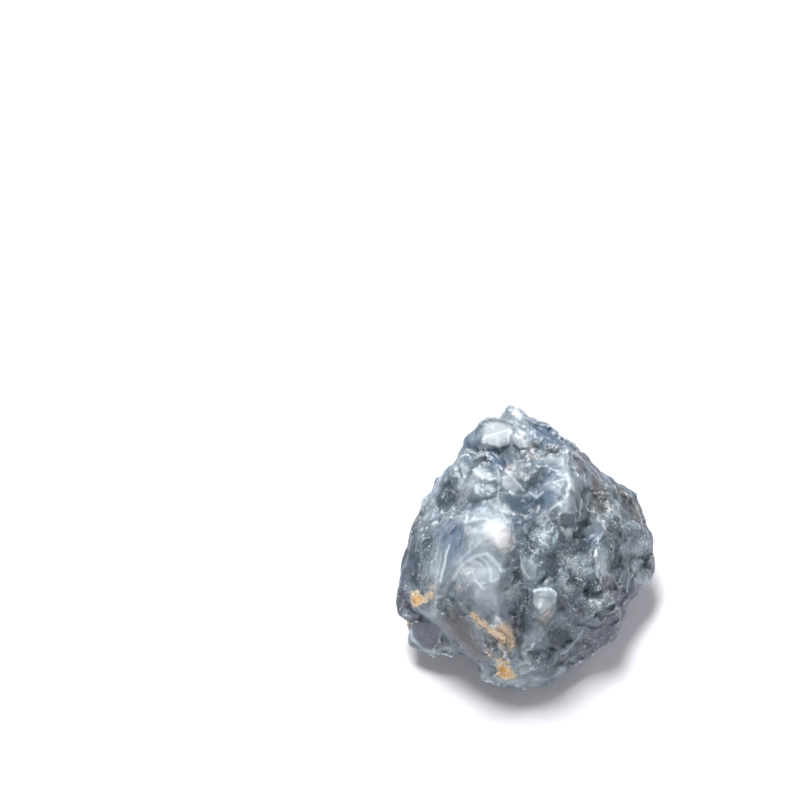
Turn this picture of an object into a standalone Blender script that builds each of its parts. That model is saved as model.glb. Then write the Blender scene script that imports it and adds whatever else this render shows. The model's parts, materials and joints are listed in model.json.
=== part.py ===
"""A raw lump of blue calcite, broken on every side, resting on a small flat spot.

For Blender 4.5, in metres, +Z up. The lump is drawn from corner points. A corner that shows is
read as a viewer who looks down at the stone sees it: millimetres to the right and up the view,
and its height above the table. A corner at the back or underneath is plain x, y, z. The corners
make a cage, the cage is remeshed to a fine skin, the skin is broken into dished flats and
ledges, and the result is thinned and set down flat.
"""

import math

import bmesh
import bpy
import numpy as np
from mathutils import Quaternion, Vector, noise
from mathutils.bvhtree import BVHTree

MM = 0.001
STONE = "calcite_stone"

# Driving dimensions, in millimetres
SIGHT = math.radians(60)  # how far above the horizon the corners are seen from
MID_HEIGHT = 20.0  # height of the point that the view is centred on
HEART = Vector((0.0, -1.0, 17.0))  # every corner can be seen from here, inside the stone

# The outline from the peak, clockwise: across, up the view, height above the table
RIM = [
    (-2.6, 33.9, 40), (0.5, 32.0, 40.5), (3.4, 30.2, 40), (7.0, 28.0, 39), (10.1, 25.8, 37),
    (13.0, 23.8, 34), (15.8, 21.6, 30), (19.7, 17.6, 24), (22.7, 16.5, 21), (25.4, 14.3, 18),
    (27.4, 10.7, 16), (28.7, 7.2, 15), (31.2, 3.5, 13), (31.6, -2.4, 12), (30.6, -7.0, 10),
    (28.6, -9.6, 9), (25.9, -11.5, 8), (24.2, -14.6, 8), (22.6, -19.0, 7), (20.6, -22.0, 7),
    (18.5, -24.2, 6), (16.6, -24.7, 6), (15.4, -26.9, 5), (9.4, -28.8, 5), (5.3, -31.7, 5),
    (3.6, -32.9, 4), (-2.4, -33.8, 3), (-5.0, -33.0, 3.5), (-9.1, -32.4, 3), (-11.0, -30.7, 4),
    (-13.0, -27.4, 6), (-15.8, -25.0, 8), (-18.2, -23.4, 9), (-20.2, -25.9, 5.5),
    (-22.4, -26.4, 4), (-25.2, -25.0, 5), (-28.2, -23.0, 6), (-28.1, -19.4, 8),
    (-28.6, -17.3, 10), (-30.6, -14.9, 12), (-31.4, -12.2, 14), (-31.1, -8.2, 16),
    (-30.2, -2.6, 18), (-29.4, 1.0, 19), (-28.2, 5.3, 20), (-26.9, 8.6, 21), (-24.7, 11.7, 22),
    (-22.9, 14.4, 23.5), (-22.0, 17.4, 25), (-19.9, 20.1, 27), (-17.9, 21.0, 28.5),
    (-16.4, 24.0, 30), (-15.4, 26.6, 31.5), (-12.3, 28.9, 33.5), (-10.8, 30.5, 35.5),
    (-8.6, 31.4, 36.5), (-5.0, 32.4, 38.5), (-3.9, 33.6, 39.5),
]

# What shows inside the outline: across, up the view, height above the table
SHOWN = {
    "peak block": [
        (-10.1, 29.5, 36.5), (-1.4, 31.0, 41.5), (-3.1, 26.9, 42.5), (-10.6, 25.4, 37.5),
        (1.4, 25.6, 42), (5.3, 28.8, 41.5), (9.6, 24.9, 41), (-9.6, 23.6, 35), (-3.6, 23.8, 39.6),
        (2.0, 23.2, 39.9), (7.0, 22.6, 40.2),
    ],
    "upper face": [
        (-15.4, 19.0, 31.5), (-11.5, 20.4, 36), (-7.4, 20.8, 37), (-1.4, 20.6, 40.4),
        (4.6, 20.6, 41), (-5.0, 18.6, 39.4), (-10.8, 16.2, 38.4), (-0.2, 14.6, 40), (-4.2, 14.0, 37.8),
        (1.0, 11.8, 37.2), (5.3, 14.2, 40), (5.8, 9.4, 39.4), (2.2, 7.2, 36.2), (-2.6, 8.6, 36.6),
        (-8.6, 10.8, 37.6), (-13.4, 11.2, 35.8), (-12.6, 13.8, 38),
    ],
    "upper ridge": [(10.0, 20.6, 41.8), (10.9, 17.0, 40.8), (10.2, 13.4, 41.6), (10.5, 8.9, 40)],
    "left hollow": [
        (-19.4, 15.4, 27), (-17.0, 11.8, 29), (-15.4, 13.7, 34), (-23.0, 8.2, 24), (-19.4, 8.6, 30),
        (-15.4, 8.9, 35),
    ],
    "dome": [
        (-11.0, 8.2, 39.5), (-6.2, 5.8, 41.5), (-9.8, 3.4, 41), (-5.0, 1.0, 40.3), (-14.6, 3.4, 36.5),
        (-18.2, 4.6, 32), (-23.0, 2.2, 26), (-12.2, -1.4, 38), (-6.2, -2.6, 39), (-17.0, -5.0, 32),
        (-21.8, -3.8, 27), (-26.6, -2.6, 20), (-11.5, -7.4, 36), (-6.2, -7.4, 36.6),
        (-2.6, -2.6, 37.2), (-2.8, -8.6, 33.2), (-17.0, -11.0, 29), (-11.0, -12.2, 31.8),
        (-6.2, -13.4, 30.6), (-3.6, -5.6, 36),
    ],
    "near left": [
        (-21.8, -9.8, 24), (-25.4, -12.2, 19), (-29.0, -12.2, 15), (-23.5, -13.9, 19),
        (-24.2, -17.0, 14), (-20.6, -15.8, 19), (-15.8, -15.8, 24), (-11.0, -17.0, 25.5),
        (-6.2, -18.2, 24), (-23.0, -21.8, 10), (-19.4, -21.8, 11.5), (-15.8, -21.8, 15),
        (-11.0, -23.0, 17), (-6.2, -23.0, 18.5), (-8.6, -27.8, 11), (-5.0, -29.5, 10),
        (-1.4, -26.6, 15),
    ],
    "groove": [
        (-0.2, -2.6, 35.4), (1.2, -6.2, 33.0), (-1.0, -12.2, 27.8), (-1.4, -18.2, 21.4),
        (-1.4, -22.3, 17.4),
    ],
    "column": [
        (4.6, -10.3, 30), (6.5, -13.4, 27), (2.2, -14.6, 27), (3.4, -19.4, 22), (1.0, -23.0, 18),
        (8.2, -12.2, 25), (7.0, -17.0, 20), (5.3, -21.8, 15.5), (4.6, -27.8, 10),
    ],
    "saddle": [(1.0, 2.2, 36.6), (5.8, 3.4, 35.6), (7.0, -1.4, 33), (4.6, -6.2, 31), (9.4, 2.6, 34)],
    "right flank": [
        (13.0, 19.0, 36), (13.4, 13.0, 35), (13.0, 8.2, 34), (15.4, 16.6, 32), (17.3, 13.0, 30),
        (16.6, 8.9, 31), (20.2, 13.0, 29), (22.1, 8.9, 28.5), (19.0, 8.9, 30), (24.5, 4.6, 24),
        (17.8, 6.5, 30), (14.2, 5.8, 31.5), (12.5, 3.4, 29), (15.4, 2.2, 29.5), (19.0, 2.2, 28),
        (22.6, 1.0, 24), (27.4, 1.0, 17),
    ],
    "right front": [
        (11.0, -2.6, 30), (15.4, -2.6, 28.5), (17.8, -2.6, 27.5), (21.8, -3.1, 20.5),
        (25.4, -2.6, 17), (29.3, -3.8, 12.5), (11.8, -7.4, 27), (17.3, -7.0, 25), (23.8, -7.4, 17),
        (27.4, -7.9, 13), (10.6, -11.0, 24), (16.6, -10.3, 22), (21.4, -11.0, 17),
        (17.8, -13.0, 20), (13.0, -14.6, 19.5), (9.4, -18.2, 16.5), (17.8, -18.2, 14),
        (21.4, -14.6, 14), (13.0, -21.8, 11), (17.8, -21.8, 9), (10.6, -25.4, 8.5),
    ],
}

# The far side, the underside and the spot it rests on: x, y, z
HIDDEN = {
    "far side": [
        (-4, 31, 27), (5, 29.5, 29), (-13, 28, 20), (0, 33, 16), (10, 28, 19), (17, 23, 16),
        (-20, 20, 14), (-9, 31, 10), (6, 30, 8), (16, 22, 6), (24, 15, 8), (-17, 22, 4), (-3, 28, 3),
        (-8, 32, 18), (-3, 30, 22), (4, 32, 22), (-15, 22.5, 22), (-18, 24, 17), (-24, 14, 16),
        (12, 23, 25), (11, 26, 12), (18, 20, 11), (-14, 25.5, 12), (1, 31, 11),
    ],
    "left underside": [
        (-29.5, -3, 11), (-29, -10.5, 8.5), (-27, 6, 11.5), (-24.5, -5, 4.5), (-23.5, 5, 4.5),
        (-22, 13, 8), (-23, -13, 4), (-17.4, -17, 5), (-19, -12, 3.5),
    ],
    "right underside": [
        (30, -1, 7), (28.5, 7, 8.5), (25, -9, 4.5), (25.5, 1, 3.5), (22, 14, 5), (19, -16, 4),
    ],
    "belly": [
        (-4, -22, 1.6), (6, -21, 2), (16, -12, 2), (20, 3, 2.2), (15, 14, 2.6), (3, 22, 1.8),
        (-10, 19, 2.6), (-18, 8, 2.6), (-19, -3, 2.8), (-9, -27, 4),
    ],
    "resting spot": [
        (-9, -12, 0), (-2, -15, 0), (8, -13, 0), (13, -5, 0), (12, 6, 0), (6, 13, 0), (-4, 14, 0),
        (-12, 8, 0), (-13, -3, 0),
    ],
}

# Forms carved into the side that shows, all in millimetres
# Flat cleavage faces: across, up the view, radius
FLATS = {
    "bright face of the peak": (-7.2, 28.1, 3.6),
    "blue face of the peak": (5.3, 27.0, 4.0),
    "upper hollow": (-1.4, 10.6, 3.0),
    "beside the ridge": (8.0, 14.2, 2.4),
    "behind the ridge": (14.9, 17.8, 3.0),
    "brown recess": (17.5, 12.0, 2.4),
    "right margin": (27.4, -5.0, 3.0),
    "lower right": (18.2, -17.8, 5.0),
    "near right": (11.8, -24.6, 3.6),
    "left lobe": (-24.2, -20.6, 3.4),
    "left of the dome": (-19.0, 1.5, 4.2),
    "near left": (-13.4, -19.4, 4.4),
}

# Round lumps and hollows: across, up the view, radius, rise
LUMPS = {
    "left hollow": (-18.7, 12.5, 3.6, -1.1),
    "upper blue hollow": (-7.0, 21.4, 2.6, -0.6),
    "middle of the dome": (-8.0, 1.0, 7.0, 0.8),
    "lump on the right flank": (17.0, 5.6, 2.8, 0.9),
    "upper dark hollow": (21.6, 1.9, 2.2, -0.8),
    "lower dark hollow": (21.1, -2.8, 2.2, -0.8),
    "shoulder": (27.6, 1.4, 3.2, 0.8),
    "oval plate": (1.0, -4.8, 2.5, 0.8),
    "top of the column": (4.3, -10.6, 3.6, 1.5),
    "foot of the column": (1.9, -19.9, 2.8, 0.8),
    "left shelf": (-23.8, -14.9, 2.4, 0.6),
    "near ledge": (17.8, -12.6, 3.0, 0.7),
    "under the overhang": (13.0, 1.8, 3.0, -0.4),
}

# Ledges: their way across and up the view, the drop on its left-hand side and that side's width
LEDGES = {
    "ridge": ([(9.8, 24.5), (10.6, 20.2), (10.1, 16.6), (10.8, 13.0), (9.8, 10.1), (7.7, 8.2)], 1.0, 4.5),
    "flank": ([(12.5, 22.6), (12.7, 17.8), (13.0, 14.2), (12.5, 10.6), (11.0, 6.5)], 0.8, 3.5),
    "overhang": ([(15.8, 8.9), (13.9, 6.0), (11.5, 4.1), (10.3, 2.4), (9.4, 3.1), (7.2, 6.5)], 1.0, 3.0),
    "right crest": ([(18.2, 15.1), (20.6, 12.2), (23.3, 8.4), (24.7, 4.6), (24.7, 1.0)], 0.9, 4.0),
    "upper step": ([(-0.7, 13.7), (-2.6, 16.1), (-4.3, 18.2), (-5.5, 20.2)], 0.6, 3.0),
    "stained step": (
        [(-3.4, -23.8), (-8.6, -18.5), (-11.8, -15.4), (-14.4, -13.2), (-17.8, -13), (-22.3, -13.9)],
        0.9, 4.5,
    ),
    "left shelf": ([(-22.6, -17.0), (-25.4, -16.3), (-28.1, -14.6)], 0.8, 2.5),
    "near step": ([(17.0, -19.9), (11.8, -23.8), (7.2, -26.6), (3.4, -29.5)], 0.7, 3.5),
    "left hollow": ([(-14.9, 9.8), (-14.2, 12.5), (-14.4, 15.2)], 0.8, 2.6),
}

# Creases: their way across and up the view, their depth and half their width
CREASES = {
    "under the peak": (
        [(-15.1, 23.0), (-11.5, 24.3), (-7.0, 24.2), (-3.4, 24.0), (1.0, 23.8), (5.3, 24.0), (9.4, 24.5)],
        0.9, 1.5,
    ),
    "middle groove": ([(-1.0, 3.4), (0.2, -0.2), (-0.9, -5.0), (-0.7, -8.0)], 0.5, 1.8),
    "lower groove": ([(-0.8, -9.0), (-1.0, -13.0), (-1.4, -17.0), (-1.6, -21.0)], 0.9, 2.2),
    "right of the column": ([(8.2, -9.8), (8.4, -14.6), (7.2, -19.9), (5.3, -24.2)], 0.8, 1.8),
    "over the dome": ([(-26.6, 6.2), (-21.8, 7.2), (-18.0, 8.2), (-14.6, 9.6), (-9.0, 10.4)], 0.6, 1.8),
    "middle shelf": ([(11.8, -9.4), (15.4, -10.1), (19.0, -9.6), (22.1, -8.2)], 0.8, 1.6),
}
PATH_STEP = 0.5  # spacing of the points that a ledge or a crease is followed by
PATH_ROUNDS = 8  # rounds of smoothing that its line gets
PATH_END = 2.0  # a ledge or a crease fades in and out over this length
CLIFF = 0.5  # how far out from a ledge its drop is complete
LUMP_FALL = 1.5  # how steeply a lump falls away round its middle
FLAT_REACH = 1.2  # no point is moved further than this when a face is made flat
FLAT_SIDES = 5
SIDE_TURN = 0.4  # a side of a flat face is turned by up to this, in radians
SIDE_PLACE = (0.6, 1.0)  # and stands this far from its middle, in radii
FLAT_EDGE = 0.3  # width of the soft edge of a flat face, in radii

# Breaks: how many scoops, the least and greatest radius of their balls, their depth, their tilt
WIDE_BREAKS = (110, (30, 90), (0.25, 0.7), 0.12)
SHELL_BREAKS = (60, (12, 25), (0.3, 0.8), 0.16)
CHIPS = (260, (4, 10), (0.1, 0.4), 0.2)
SCOOP_LIMIT = 1.5  # the deepest that a scoop cuts, in its depths
SCOOP_REACH = 1.5  # how far a scoop cuts, in its radii, and the width that it fades over
SCOOP_FADE = 0.5
SCOOP_FACING = 0.3  # a scoop spares whatever looks further away from it than this
FILLED_BACK = 0.6  # share of what the scoops take that is given back all over, to keep the size

# Smoothing: rounds, pull towards the neighbours, push back
SKIN_SMOOTHING = (12, 0.5, 0.52)
CARVING_SMOOTHING = (2, 0.5, 0.4)
DOME_SMOOTHING = (9, 0.5, 0.3)

# Cleavage ledges
LEDGE = 1.5  # height of one ledge
BRIGHT_FACE = (-0.53, 0.19, 0.82)  # which way the flat face at the peak looks
CRYSTAL_TURN = 200.0  # degrees that the crystal is turned about that face
CLEAVAGE_TO_AXIS = math.radians(44.6)  # between a cleavage face's normal and the crystal axis
TREAD = 0.8  # share of a ledge that is its tread
TREAD_FALL = 0.9  # how far the skin comes down over a tread, in ledges
RISER = 4.5  # slope of the riser that follows it
WANDER_WAVES = 0.11  # waves per millimetre of a ledge's wandering line, and its reach in ledges
WANDER = 0.9
BEAT = 0.35  # how far the ledges' spacing swells, in ledges, and how fast, in radians per millimetre
BEAT_WAVES = 1.3
PATCH_WAVES = 0.06  # waves per millimetre of the patches that have ledges
PATCH_START = -0.05
PATCH_FADE = 0.15
LEDGE_FACING = 0.8  # the least that the skin looks along a cleavage to have ledges, and the fade
FACING_FADE = 0.12
SMOOTH_LEFT = -19.0  # to the left of this the skin has no ledges, and the width of the fade
LEFT_FADE = 5
NOISE_PLACE = (7.3, 2.1, 5.9)

SKIN_GRAIN = 0.6  # spacing of the fine skin's points
TRIANGLES = 9400
SEED = 21
DOME = (-10.0, -1.0, 36.0)  # middle of the smooth dome
DOME_REACH = 11.0
DOME_CALM = 0.65  # how much less the dome is broken
FOOT = 0.5  # below this the skin isn't broken, and the height that it fades in over
FOOT_FADE = 2.5
REST_DEPTH = 0.3  # whatever lies lower than this is pressed flat
STONE_COLOUR = (0.38, 0.44, 0.49)
STONE_ROUGHNESS = 0.35
STONE_IOR = 1.6


def seen_corner(across, up, height):
    """The place of a corner read from the view, in millimetres."""
    y = (up - (height - MID_HEIGHT) * math.cos(SIGHT)) / math.sin(SIGHT)
    return Vector((across, y, height))


def all_corners():
    corners = [seen_corner(*c) for c in RIM]
    for group in SHOWN.values():
        corners += [seen_corner(*c) for c in group]
    for group in HIDDEN.values():
        corners += [Vector(c) for c in group]
    return corners


def clear_scene():
    for obj in list(bpy.data.objects):
        bpy.data.objects.remove(obj, do_unlink=True)


def cage(corners):
    """A closed cage through every corner: neighbours are found on a sphere round the heart."""
    bm = bmesh.new()
    for corner in corners:
        bm.verts.new((corner - HEART).normalized())
    bm.verts.ensure_lookup_table()
    places = {v: c for v, c in zip(bm.verts, corners)}
    bmesh.ops.convex_hull(bm, input=bm.verts[:])
    for vert, corner in places.items():
        vert.co = corner * MM
    bmesh.ops.recalc_face_normals(bm, faces=bm.faces[:])
    mesh = bpy.data.meshes.new(STONE)
    bm.to_mesh(mesh)
    bm.free()
    return mesh


def applied(obj):
    """The object's evaluated mesh in place of its own, with its modifiers gone."""
    graph = bpy.context.evaluated_depsgraph_get()
    mesh = bpy.data.meshes.new_from_object(obj.evaluated_get(graph))
    obj.modifiers.clear()
    obj.data = mesh


def points_of(mesh):
    """Vertex places in millimetres, and their outward normals."""
    mesh.update()
    places = np.empty(len(mesh.vertices) * 3)
    mesh.vertices.foreach_get("co", places)
    normals = np.empty(len(mesh.vertices) * 3)
    mesh.vertex_normals.foreach_get("vector", normals)
    return places.reshape(-1, 3) / MM, normals.reshape(-1, 3)


def put_points(mesh, places):
    mesh.vertices.foreach_set("co", (places * MM).ravel())
    mesh.update()


def relaxed(mesh, rounds, pull, push, share=1.0):
    """Each point drawn towards the mean of its neighbours, then pushed part of the way back."""
    edges = np.empty(len(mesh.edges) * 2, dtype=np.int64)
    mesh.edges.foreach_get("vertices", edges)
    one, two = edges.reshape(-1, 2).T
    places, _ = points_of(mesh)
    size = len(places)
    counts = np.bincount(one, minlength=size) + np.bincount(two, minlength=size)
    for step in [pull, -push] * rounds:
        mean = np.empty_like(places)
        for k in range(3):
            mean[:, k] = np.bincount(one, places[two, k], size) + np.bincount(two, places[one, k], size)
        places += step * share * (mean / counts[:, None] - places)
    put_points(mesh, places)


def from_view(across, up, out):
    """Plain x, y, z of a point given to the right, up and out of the view."""
    y = up * math.sin(SIGHT) - out * math.cos(SIGHT)
    return Vector((across, y, MID_HEIGHT + up * math.cos(SIGHT) + out * math.sin(SIGHT)))


def on_stone(tree, across, up):
    """Where the sight line through that place of the view meets the stone."""
    away = from_view(0, 0, 0) - from_view(0, 0, 1)
    return np.array(tree.ray_cast(from_view(across, up, 100), away)[0])


def along_path(places, tree, path):
    """Each place's distance to a path on the stone, if it is to its left, and how far from its ends."""
    points = []
    for start, end in zip(path, path[1:]):
        steps = round(math.dist(start, end) / PATH_STEP)
        for share in np.arange(steps) / steps:
            points.append(on_stone(tree, *(np.array(start) * (1 - share) + np.array(end) * share)))
    points = np.array(points)
    for _ in range(PATH_ROUNDS):
        points[1:-1] = (points[:-2] + points[1:-1] + points[2:]) / 3
    starts = points[:-1]
    spans = points[1:] - starts
    apart = places[:, None, :] - starts
    share = np.clip((apart * spans).sum(2) / (spans**2).sum(1), 0, 1)
    apart -= share[:, :, None] * spans
    distance = np.sqrt((apart**2).sum(2))
    nearest = distance.argmin(1)
    each = np.arange(len(places))
    off = apart[each, nearest]
    off_up = off[:, 1] * math.sin(SIGHT) + off[:, 2] * math.cos(SIGHT)
    way = spans[nearest]
    way_up = way[:, 1] * math.sin(SIGHT) + way[:, 2] * math.cos(SIGHT)
    left = way[:, 0] * off_up - way_up * off[:, 0] > 0
    from_end = np.minimum(nearest, len(spans) - 1 - nearest) * PATH_STEP / PATH_END
    return distance[each, nearest], left, np.clip(from_end, 0, 1)


def sight_tree(mesh):
    places, _ = points_of(mesh)
    return BVHTree.FromPolygons([Vector(p) for p in places], [tuple(f.vertices) for f in mesh.polygons])


def carved(mesh):
    """The named lumps, ledges and creases."""
    places, normals = points_of(mesh)
    tree = sight_tree(mesh)
    rise = np.zeros(len(places))
    for across, up, radius, height in LUMPS.values():
        far = ((places - on_stone(tree, across, up)) ** 2).sum(1) / radius**2
        rise += height * np.exp(-LUMP_FALL * far**LUMP_FALL)
    for path, drop, width in LEDGES.values():
        far, left, fade = along_path(places, tree, path)
        rise -= drop * fade * left * np.clip(far / CLIFF, 0, 1) * np.clip(1 - far / width, 0, 1)
    for path, depth, width in CREASES.values():
        far, _, fade = along_path(places, tree, path)
        rise -= depth * fade * np.clip(1 - far / width, 0, 1)
    places += normals * rise[:, None]
    put_points(mesh, places)
    relaxed(mesh, *CARVING_SMOOTHING)


def flattened(mesh, rng):
    """The named flat faces, each square to the way that its middle looks, with straight edges."""
    tree = sight_tree(mesh)
    for across, up, radius in FLATS.values():
        places, normals = points_of(mesh)
        off = (places - on_stone(tree, across, up)) / radius
        far = np.sqrt((off**2).sum(1))
        facing = normals[far < 1].mean(0)
        facing /= np.linalg.norm(facing)
        side = np.cross(facing, (0, 0, 1))
        turns = np.arange(FLAT_SIDES) * math.tau / FLAT_SIDES
        for turn in turns + rng.uniform(-SIDE_TURN, SIDE_TURN, FLAT_SIDES):
            edge = math.cos(turn) * side + math.sin(turn) * np.cross(facing, side)
            far = np.maximum(far, off @ edge / rng.uniform(*SIDE_PLACE))
        above = places @ facing
        above = np.clip(above - above[far < 1].mean(), -FLAT_REACH, FLAT_REACH)
        shift = above * np.clip((1 + FLAT_EDGE - far) / FLAT_EDGE, 0, 1)
        put_points(mesh, places - shift[:, None] * facing)


def on_dome(places):
    """How much of the smooth dome each place has: 1 at its middle, fading outwards."""
    return np.exp(-((places - np.array(DOME)) ** 2).sum(1) / DOME_REACH**2)


def roughness(places):
    """How far the skin is broken: little on the smooth dome, not at all where the stone rests."""
    return (1 - DOME_CALM * on_dome(places)) * np.clip((places[:, 2] - FOOT) / FOOT_FADE, 0, 1)


def broken(mesh, rng, count, ball, depth, tilt):
    """Shallow scoops by large balls: wide ones read as flats, small ones as shell-shaped chips."""
    places, normals = points_of(mesh)
    cut = np.zeros(len(places))
    for index in rng.choice(len(places), count, replace=False):
        facing = normals[index] + rng.normal(0, tilt, 3)
        facing /= np.linalg.norm(facing)
        radius = rng.uniform(*ball)
        deep = rng.uniform(*depth)
        away = places - (places[index] + facing * (radius - deep))
        inside = np.clip(radius - np.sqrt((away * away).sum(1)), 0, SCOOP_LIMIT * deep)
        reach = math.sqrt(2 * radius * deep)
        far = np.sqrt(((places - places[index]) ** 2).sum(1)) / reach
        fade = np.clip((SCOOP_REACH - far) / SCOOP_FADE, 0, 1) * (normals @ facing > SCOOP_FACING)
        cut = np.maximum(cut, inside * fade)
    shift = (FILLED_BACK * cut.mean() - cut) * roughness(places)
    put_points(mesh, places + normals * shift[:, None])


def cleavage_faces():
    """The six ways that calcite splits, for a crystal whose bright face shows at the peak."""
    bright = Vector(BRIGHT_FACE).normalized()
    side = bright.orthogonal().normalized()
    side.rotate(Quaternion(bright, math.radians(CRYSTAL_TURN)))
    axis = bright * math.cos(CLEAVAGE_TO_AXIS) + side * math.sin(CLEAVAGE_TO_AXIS)
    faces = []
    for turn in (0, 120, 240):
        face = bright.copy()
        face.rotate(Quaternion(axis, math.radians(turn)))
        faces += [face, -face]
    return faces


def terraced(mesh, facing, step, salt):
    """Cleavage: flats square to one direction and a step apart, where the skin faces that way."""
    places, normals = points_of(mesh)
    facing = np.array(facing) / np.linalg.norm(facing)
    along = places @ facing
    wander = np.array([noise.noise(Vector(p) * WANDER_WAVES + salt) for p in places])
    patch = np.array([noise.noise(Vector(p) * PATCH_WAVES - salt) for p in places])
    phase = (along / step + WANDER * wander + BEAT * np.sin(along * BEAT_WAVES + salt[0])) % 1.0
    weight = np.clip((normals @ facing - LEDGE_FACING) / FACING_FADE, 0, 1)
    weight = weight * np.clip((patch - PATCH_START) / PATCH_FADE, 0, 1)
    weight *= np.clip((places[:, 0] - SMOOTH_LEFT) / LEFT_FADE, 0, 1) * roughness(places)
    fall = np.where(phase < TREAD, phase / TREAD * TREAD_FALL, RISER * (1 - phase))
    shift = (TREAD_FALL / 2 - fall) * step * weight
    put_points(mesh, places + facing * shift[:, None])


def set_down(mesh):
    """The underside pressed flat at z = 0, and the box centred over the origin."""
    places, _ = points_of(mesh)
    places[:, 2] = np.where(places[:, 2] < REST_DEPTH, 0, places[:, 2])
    places[:, :2] -= (places[:, :2].min(0) + places[:, :2].max(0)) / 2
    put_points(mesh, places)


def colour(obj):
    """A pale grey-blue for the whole stone."""
    material = bpy.data.materials.new("blue_calcite")
    material.use_nodes = True
    shader = material.node_tree.nodes["Principled BSDF"]
    shader.inputs["Base Color"].default_value = (*STONE_COLOUR, 1.0)
    shader.inputs["Roughness"].default_value = STONE_ROUGHNESS
    shader.inputs["IOR"].default_value = STONE_IOR
    obj.data.materials.append(material)


def build():
    clear_scene()
    collection = bpy.data.collections.new("blue_calcite")
    bpy.context.scene.collection.children.link(collection)
    stone = bpy.data.objects.new(STONE, cage(all_corners()))
    collection.objects.link(stone)
    skin = stone.modifiers.new("skin", "REMESH")
    skin.mode = "VOXEL"
    skin.voxel_size = SKIN_GRAIN * MM
    applied(stone)
    relaxed(stone.data, *SKIN_SMOOTHING)
    rng = np.random.default_rng(SEED)
    broken(stone.data, rng, *WIDE_BREAKS)
    carved(stone.data)
    for number, facing in enumerate(cleavage_faces()):
        terraced(stone.data, facing, LEDGE, Vector((NOISE_PLACE[0] * number, *NOISE_PLACE[1:])))
    broken(stone.data, rng, *SHELL_BREAKS)
    broken(stone.data, rng, *CHIPS)
    flattened(stone.data, rng)
    dome = on_dome(points_of(stone.data)[0])
    relaxed(stone.data, *DOME_SMOOTHING, dome[:, None])
    set_down(stone.data)
    thin = stone.modifiers.new("thin", "DECIMATE")
    thin.ratio = TRIANGLES / (2 * len(stone.data.polygons))
    applied(stone)
    set_down(stone.data)
    colour(stone)


build()
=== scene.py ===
"""The looks of a raw lump of blue calcite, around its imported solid."""

import json
import math

import bpy
import numpy as np
from mathutils import Matrix, Quaternion, Vector, noise
from mathutils.bvhtree import BVHTree
from mathutils.kdtree import KDTree

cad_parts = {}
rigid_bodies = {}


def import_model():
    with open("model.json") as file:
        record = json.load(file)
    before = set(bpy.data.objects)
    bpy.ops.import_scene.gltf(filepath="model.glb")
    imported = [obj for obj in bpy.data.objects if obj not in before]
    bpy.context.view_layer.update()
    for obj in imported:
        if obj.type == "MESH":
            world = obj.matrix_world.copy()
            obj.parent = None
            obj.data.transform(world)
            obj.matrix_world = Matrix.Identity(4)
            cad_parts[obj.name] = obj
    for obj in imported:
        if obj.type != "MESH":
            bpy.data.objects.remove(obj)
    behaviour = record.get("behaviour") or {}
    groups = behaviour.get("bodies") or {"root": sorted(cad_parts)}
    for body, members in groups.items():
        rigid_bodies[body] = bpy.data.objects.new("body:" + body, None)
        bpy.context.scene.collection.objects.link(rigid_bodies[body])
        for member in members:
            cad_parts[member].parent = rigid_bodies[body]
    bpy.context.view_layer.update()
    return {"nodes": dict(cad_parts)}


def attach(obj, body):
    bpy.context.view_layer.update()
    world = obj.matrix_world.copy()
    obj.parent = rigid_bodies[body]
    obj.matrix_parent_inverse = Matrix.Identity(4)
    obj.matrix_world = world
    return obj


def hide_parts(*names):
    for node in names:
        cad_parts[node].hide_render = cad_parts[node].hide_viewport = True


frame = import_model()

MM = 0.001
STONE = "calcite_stone"
NOISE_SEED = 6  # so that the noise which bends the marks is the same in every run

# The camera stands where the photograph's stood, and shows the stone where the photograph does
PICTURE = 800  # width and height of the picture in pixels
SIGHT = math.radians(60)  # how far above the horizon the camera is
SIGHT_WAY = np.array((0, -math.cos(SIGHT), math.sin(SIGHT)))
DISTANCE = 0.5333
LENS = 100.0
SENSOR = 36.0
AIM = Vector((0.00011, -0.00205, 0.020))  # a point inside the stone
AIM_PIXEL = (526, 549)  # where that point shows
PIXEL = SENSOR / LENS / PICTURE  # how wide a pixel is at a distance of one

# A white table under a large soft light from behind and a little to the left: each light's place, the
# point it is turned to, its width in metres and its power in watts
TABLE_SIZE = 6
TABLE_WHITE = (0.86, 0.85, 0.89, 1)
TABLE_ROUGHNESS = 0.7
TABLE_SHINE = 0.2
ROOM_COLOUR = (0.93, 0.94, 1.0, 1)
ROOM_STRENGTH = 0.16
LIGHTS = {
    "key": ((-0.13, 0.32, 0.70), (0, 0, 0.02), 0.36, 9.5),
    "rim": ((0.40, 0.30, 0.30), (0, 0, 0.03), 0.20, 0.6),
    "fill": ((-0.05, -0.60, 0.18), (0, 0, 0.02), 0.4, 1.8),
}

# The skin: lengths here are in millimetres, smoothings are rounds, pull and push
SKIN_GRAIN = 0.41 * MM  # spacing of the skin's points
WELD_GAP = 0.01 * MM
SKIN_SMOOTHING = (4, 0.5, 0.5)
BREAK_SMOOTHING = (1, 0.35, 0.30)
SMOOTH_CALM = 0.9  # how much of the breaks a fully smooth mark takes away
LEAST_ROUGH = 0.05
FOOT = 1.5  # the breaks fade out below this height

# Small flat breaks: the size of a cell, its lean to a cleavage, its chance tilt, how deep it cuts, and
# the size of a grain of crystal. A cell leans where a cleavage is near, and is lifted a little by chance.
CLEAVAGE_TO_AXIS = math.radians(44.6)  # between a cleavage face's normal and the crystal axis
BREAK_SEED = 5
LARGE_BREAKS = (5.0, 0.50, 0.04, 0.32, 14.0)
MIDDLE_BREAKS = (2.4, 0.55, 0.05, 0.13, 10.0)
SUGAR_BREAKS = (1.2, 0.50, 0.12, 0.10, 6.0)
SUGAR_FLOOR = 0.1  # how much of the smallest breaks is left where there is no sugar
POINT_SPACING = 0.4
NEAR_CLEAVAGE = 0.72
STEEPEST = 0.6  # the least cosine that a height is divided by
BREAK_LIFT = 0.15

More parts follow.
